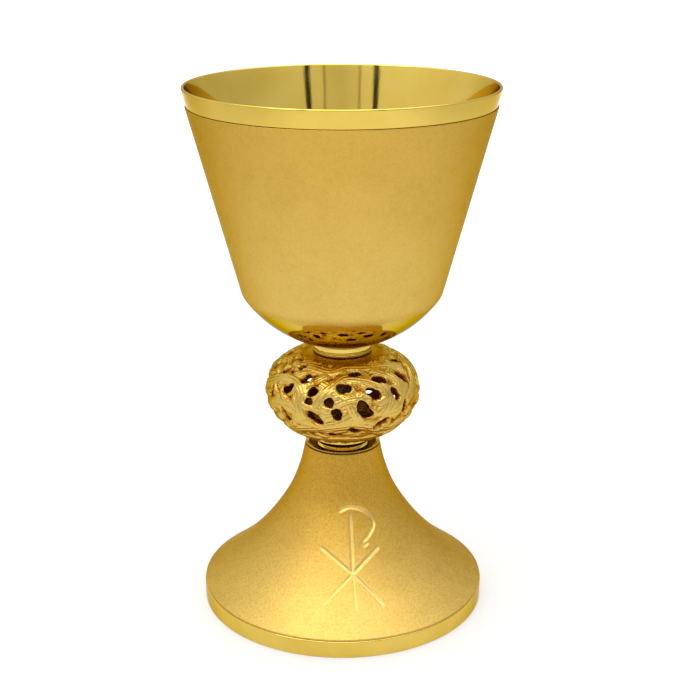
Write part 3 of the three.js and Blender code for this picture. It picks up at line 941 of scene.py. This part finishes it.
def knot_casting(finish):
    bearings, s, r, z, out = knot_grid()
    rows, turns = len(s), len(bearings)
    bearing = np.repeat(bearings[None], rows, 0)
    down = np.repeat(s[:, None], turns, 1)

    def s_of_z(height):
        return np.interp(height, z[::-1], s[::-1])

    def r_of_s(at):
        return np.interp(at, s, r)

    def z_of_s(at):
        return np.interp(at, s, z)

    # A cell is kept if its middle is outside every opening. The border is the points that kept and
    # removed cells share.
    outside, _, _ = around_openings(bearing, down, s_of_z, r_of_s)
    corners = outside + np.roll(outside, -1, 1)
    kept = (corners[:-1] + corners[1:]) > 0
    beside = kept | np.roll(kept, 1, 1)
    lacking = ~kept | np.roll(~kept, 1, 1)
    border = np.zeros((rows, turns), bool)
    border[1:-1] = (beside[1:] | beside[:-1]) & (lacking[1:] | lacking[:-1])
    bearing, down = snapped(bearing, down, border, s_of_z, r_of_s)

    outside, drawn_b, drawn_s = around_openings(bearing, down, s_of_z, r_of_s)
    radius_at, z_at = r_of_s(down), z_of_s(down)
    nr, nz = np.interp(down, s, out[:, 0]), np.interp(down, s, out[:, 1])
    sin, cos = np.sin(bearing), -np.cos(bearing)
    smooth = np.stack((radius_at * sin, radius_at * cos, z_at), -1).reshape(-1, 3)
    normal = np.stack((nr * sin, nr * cos, nz), -1).reshape(-1, 3)
    height = weave(drawn_b, drawn_s, r_of_s(drawn_s), s[-1]).ravel()
    height = laid_ribbons(smooth, height, s_of_z, r_of_s, z_of_s)
    rim = np.exp(-np.clip(outside.ravel(), 0, None) / RIM_WIDTH)
    height -= RIM_DROP * rim
    ends = np.clip(np.minimum(down, s[-1] - down).ravel() / END_WIDTH, 0, 1)
    height = height * ends - END_DROP * (1 - ends)
    outer = smooth + normal * height[:, None]
    inner = smooth - normal * KNOT_WALL

    top, bottom = high("knot_casting"), low("knot_casting")
    lands = [
        (KNOT_LAND_R, bottom),
        (KNOT_MOUTH_R, bottom),
        (KNOT_MOUTH_R, bottom + KNOT_WALL),
        (KNOT_MOUTH_R, top - KNOT_WALL),
        (KNOT_MOUTH_R, top),
        (KNOT_LAND_R, top),
    ]
    circle = np.column_stack((np.sin(bearings), -np.cos(bearings)))
    rings = [np.column_stack((circle * land_r, np.full(turns, land_z))) for land_r, land_z in lands]
    verts = np.concatenate((outer, inner, *rings))
    count = rows * turns
    grid = np.arange(count).reshape(rows, turns)
    land = [2 * count + i * turns + np.arange(turns) for i in range(len(lands))]
    faces = casting_faces(kept, grid, grid + count, land)
    used = np.unique(faces)
    new_index = np.zeros(len(verts), int)
    new_index[used] = np.arange(len(used))
    made = mesh_object("knot_casting_interlaced", verts[used], new_index[faces].tolist(), 70)
    # Painted shade: the colour darkens where the relief lies deep, and the whole inside of the casting
    # takes the darkest shade.
    deep = np.zeros(len(verts))
    deep[:count] = np.clip((SHADE_FROM - height) / SHADE_SPAN, 0, 1)
    deep[count : 2 * count] = 1
    layer = made.data.attributes.new("recess_painted_shade", "FLOAT", "POINT")
    layer.data.foreach_set("value", deep[used].astype(np.float32))
    keep(made, "knot_casting", "knot", finish)


# ---- Fastenings inside ----

THREAD_PITCH = 0.8 * MM
THREAD_DEPTH = 0.45 * MM
THREAD_LENGTH = 18 * MM


def wall_of_turns(name, radius_of, heights, turns, inner=None):
    """A solid whose outside radius depends on bearing and height, with a plain bore if one is given."""
    angles = np.linspace(0, 2 * math.pi, turns, endpoint=False)
    sin, cos = np.sin(angles), np.cos(angles)
    rings = []
    for z in heights:
        r = radius_of(angles, z)
        rings.append(np.column_stack((r * cos, r * sin, np.full(turns, z))))
    k = np.arange(turns)
    if inner:
        for z in (heights[-1], heights[0]):
            rings.append(np.column_stack((inner * cos, inner * sin, np.full(turns, z))))
    count = len(rings)
    faces = []
    for i in range(count if inner else count - 1):
        a, b = i * turns + k, (i + 1) % count * turns + k
        faces += np.column_stack((a, np.roll(a, -1), np.roll(b, -1), b)).tolist()
    if not inner:
        faces.append(k[::-1].tolist())
        faces.append(((count - 1) * turns + k).tolist())
    return mesh_object(name, np.concatenate(rings), faces, 40)


def cup_stud(finish):
    r, bottom, top = radius("cup_stud"), low("cup_stud"), high("cup_stud")
    chamfer = 0.5 * MM

    def radius_of(angles, z):
        turn = (z / THREAD_PITCH - angles / (2 * math.pi)) % 1
        depth = THREAD_DEPTH * abs(2 * turn - 1)
        depth = depth * np.clip((bottom + THREAD_LENGTH - z) / THREAD_PITCH, 0, 1)
        end = min(z - bottom, top - z)
        return np.minimum(r - depth, r - chamfer + end)

    step = THREAD_PITCH / 10
    threaded = np.arange(bottom, bottom + THREAD_LENGTH, step)
    shank = [bottom + THREAD_LENGTH, top - chamfer, top]
    made = wall_of_turns("cup_stud_threaded", radius_of, [*threaded, *shank], 48)
    keep(made, "cup_stud", "cup", finish)


def cup_boss(finish):
    r, bottom, top = radius("cup_boss"), low("cup_boss"), high("cup_boss")
    hole_top = high("cup_stud") + GAP
    outline = filleted(
        [
            (0, hole_top, 0),
            (BORE, hole_top, 0.1 * MM),
            (BORE, bottom, 0.25 * MM),
            (r, bottom, 0.3 * MM),
            (r, top, 0.3 * MM),
            (0, top, 0),
        ],
        closed=False,
    )
    made = revolved("cup_boss_turned", outline, 96, closed=False)
    keep(made, "cup_boss", "cup", finish)


def flat_ring(node, name, rounding, finish):
    r, bottom, top = radius(node), low(node), high(node)
    corners = [(BORE, bottom), (r, bottom), (r, top), (BORE, top)]
    outline = filleted([(*at, rounding) for at in corners])
    keep(revolved(name, outline, 128), node, "foot", finish)


def spring_washer(finish):
    node = "spring_washer"
    r, bottom, top = radius(node), low(node), high(node)
    thick = 0.8 * (top - bottom)
    split = math.radians(14)
    angles = np.linspace(split / 2, 2 * math.pi - split / 2, 120)
    rise = np.linspace(0, top - bottom - thick, len(angles))
    rounding = 0.12 * MM
    corners = [(BORE, 0), (r, 0), (r, thick), (BORE, thick)]
    section = np.array(filleted([(*at, rounding) for at in corners]))
    points = len(section)
    verts = []
    for a, lift in zip(angles, rise):
        verts += [(sr * math.cos(a), sr * math.sin(a), bottom + lift + sz) for sr, sz in section]
    k = np.arange(points)
    faces = []
    for i in range(len(angles) - 1):
        a, b = i * points + k, (i + 1) * points + k
        faces += np.column_stack((a, b, np.roll(b, -1), np.roll(a, -1))).tolist()
    faces += [k.tolist(), ((len(angles) - 1) * points + k[::-1]).tolist()]
    made = mesh_object("spring_washer_split", verts, faces)
    keep(made, node, "foot", finish)


def hex_nut(finish):
    node = "hex_nut"
    bottom, top = low(node), high(node)
    flat = 4 * MM
    cut = 0.7 * MM

    def radius_of(angles, z):
        sixth = math.pi / 3
        across = (angles + sixth / 2) % sixth - sixth / 2
        end = min(z - bottom, top - z)
        return np.minimum(flat / np.cos(across), flat * 0.97 + end / math.tan(math.radians(30)))

    ends = np.linspace(0, cut, 5)
    heights = [*(bottom + ends), *(top - ends[::-1])]
    made = wall_of_turns("hex_nut_chamfered", radius_of, heights, 180, BORE)
    keep(made, node, "foot", finish)


# ---- Stage ----

# The floor glows with emission that paints a pool of light, not a lamp: its brightest part runs from front
# to back under the chalice, widens towards the back and fades out to both sides.
LIT_FROM_Y = -80 * MM
LIT_MIDDLE_X = 20 * MM
LIT_HALF_WIDTH = 150 * MM
LIT_LEAST_HALF_WIDTH = 155 * MM
LIT_WIDENING = 0.255
LIT_FADE = 300 * MM
LIT_ASIDE = 0.35
GLOW_NEAR = 0.36
GLOW_GROWTH = 0.4
GLOW_MOST = 0.8

# How bright the room is at a share of POST_SPAN radians from the front, to either side: the two
# narrow dips are dark upright posts, which polished surfaces mirror as lines.
POST_SPAN = 2.2
ROOM_LEVELS = [
    (0.0, 0.9),
    (0.10, 1.0),
    (0.115, 0.5),
    (0.13, 1.1),
    (0.20, 1.1),
    (0.212, 0.05),
    (0.235, 0.05),
    (0.25, 1.12),
]
HORIZON_LEVEL = 0.6
FULL_LEVEL_AT = 0.6
LEFT_LEAN = -0.22
ROOM_STRENGTH = 0.92


def split_xyz(tree, output):
    """The x, y and z outputs of one of the texture coordinates."""
    coords = tree.nodes.new("ShaderNodeTexCoord")
    split = tree.nodes.new("ShaderNodeSeparateXYZ")
    tree.links.new(coords.outputs[output], split.inputs[0])
    return split.outputs


def floor():
    bpy.ops.mesh.primitive_plane_add(size=60)
    plane = bpy.context.object
    plane.name = "floor"
    material = bpy.data.materials.new("painted_light_floor")
    material.use_nodes = True
    tree = material.node_tree
    shader = tree.nodes["Principled BSDF"]
    shader.inputs["Base Color"].default_value = (0.5, 0.5, 0.5, 1)
    shader.inputs["Roughness"].default_value = 0.8
    x, y, _ = split_xyz(tree, "Object")
    behind = calculate(tree, "MAXIMUM", calculate(tree, "ADD", y, -LIT_FROM_Y), 0.0)
    half_width = calculate(tree, "MULTIPLY_ADD", behind, LIT_WIDENING, LIT_HALF_WIDTH)
    half_width = calculate(tree, "MAXIMUM", half_width, LIT_LEAST_HALF_WIDTH)
    aside = calculate(tree, "ABSOLUTE", calculate(tree, "SUBTRACT", x, LIT_MIDDLE_X))
    lit = tree.nodes.new("ShaderNodeMapRange")
    lit.interpolation_type = "SMOOTHSTEP"
    lit.inputs["From Max"].default_value = LIT_FADE
    lit.inputs["To Min"].default_value = 1.0
    lit.inputs["To Max"].default_value = LIT_ASIDE
    plug(tree, lit.inputs["Value"], calculate(tree, "SUBTRACT", aside, half_width))
    squared = calculate(tree, "MULTIPLY", behind, behind)
    glow = calculate(tree, "MULTIPLY_ADD", squared, GLOW_GROWTH, GLOW_NEAR)
    glow = calculate(tree, "MINIMUM", glow, GLOW_MOST)
    # Painted light: the floor's emission strength follows the glow and the lit strip.
    shader.inputs["Emission Color"].default_value = (1, 1, 1, 1)
    plug(tree, shader.inputs["Emission Strength"], calculate(tree, "MULTIPLY", glow, lit.outputs["Result"]))
    plane.data.materials.append(material)


def softbox(name, place, target, size, power):
    data = bpy.data.lights.new(name, "AREA")
    data.shape = "RECTANGLE"
    data.size, data.size_y = size
    data.energy = power
    lamp = bpy.data.objects.new(name, data)
    bpy.context.scene.collection.objects.link(lamp)
    lamp.location = place
    aim = np.array(target) - np.array(place)
    lamp.rotation_euler = Vector(aim).to_track_quat("-Z", "Y").to_euler()


def room():
    """A pale room, whiter overhead and to the left than at the horizon and to the right."""
    world = bpy.data.worlds.new("room")
    bpy.context.scene.world = world
    world.use_nodes = True
    tree = world.node_tree
    x, y, z = split_xyz(tree, "Generated")
    height = tree.nodes.new("ShaderNodeValToRGB")
    set_stops(height, [(0.0, (HORIZON_LEVEL,) * 3), (FULL_LEVEL_AT, (1, 1, 1))])
    plug(tree, height.inputs["Fac"], calculate(tree, "MULTIPLY_ADD", x, LEFT_LEAN, z))
    bearing = calculate(tree, "ARCTAN2", x, calculate(tree, "MULTIPLY", y, -1.0))
    posts = tree.nodes.new("ShaderNodeValToRGB")
    set_stops(posts, [(at, (level,) * 3) for at, level in ROOM_LEVELS])
    share = calculate(tree, "DIVIDE", calculate(tree, "ABSOLUTE", bearing), POST_SPAN)
    plug(tree, posts.inputs["Fac"], share)
    shade = mixed(tree, 1.0, height.outputs["Color"], posts.outputs["Color"], "MULTIPLY")
    background = tree.nodes["Background"]
    plug(tree, background.inputs["Color"], shade)
    background.inputs["Strength"].default_value = ROOM_STRENGTH


# Where the view is taken from, how far it looks down and how far it turns left or right.
EYE = (0, -0.496, 0.2711)
LOOK_DOWN_DEG = 18.97
TURN_DEG = -0.333


def camera():
    data = bpy.data.cameras.new("camera")
    data.sensor_width = 36
    data.lens = 70.84
    data.clip_start = 0.01
    eye = bpy.data.objects.new("camera", data)
    bpy.context.scene.collection.objects.link(eye)
    eye.location = EYE
    eye.rotation_euler = (math.radians(90 - LOOK_DOWN_DEG), 0, math.radians(TURN_DEG))
    bpy.context.scene.camera = eye


bpy.context.scene.view_settings.view_transform = "Standard"
camera()
floor()
room()
softbox("overhead", (0.0, 0.1, 1.3), (0, 0, 0.1), (1.6, 1.2), 9)
softbox("front_left", (-0.25, -0.6, 1.2), (0, 0, 0.05), (1.4, 1.0), 5.5)

polish = polished_gold()
cup_bowl(polish)
# The cup's colour is painted lighter below and darker above between these heights.
cup_painted_light_heights = (125 * MM, 192 * MM)
cup_sleeve(satin_gold((0.705, 0.48, 0.12), (0.645, 0.412, 0.077), cup_painted_light_heights, 0.2, POLISH_Z))
upper_collar(polish)
lower_collar(polish)
# The cap is painted dark as shade everywhere below the top of its rim.
foot_cap(polished_gold(painted_shade_below=high("foot_cap") - 0.25 * MM))
foot_edge_ring(polish)
# The foot's colour is painted lighter below and darker above between these heights.
foot_painted_light_heights = (8 * MM, 56 * MM)
foot_shell(satin_gold((0.655, 0.445, 0.115), (0.60, 0.345, 0.045), foot_painted_light_heights, 0.5))
knot_casting(cast_gold())
brass = plain_metal("plain_brass", (0.42, 0.27, 0.08), (0.60, 0.43, 0.17), 0.34)
steel = plain_metal("steel", (0.36, 0.36, 0.35), (0.55, 0.55, 0.54), 0.3)
cup_stud(brass)
cup_boss(brass)
flat_ring("clamp_plate", "clamp_plate_turned", 0.3 * MM, brass)
flat_ring("flat_washer", "flat_washer_punched", 0.12 * MM, steel)
spring_washer(steel)
hex_nut(brass)
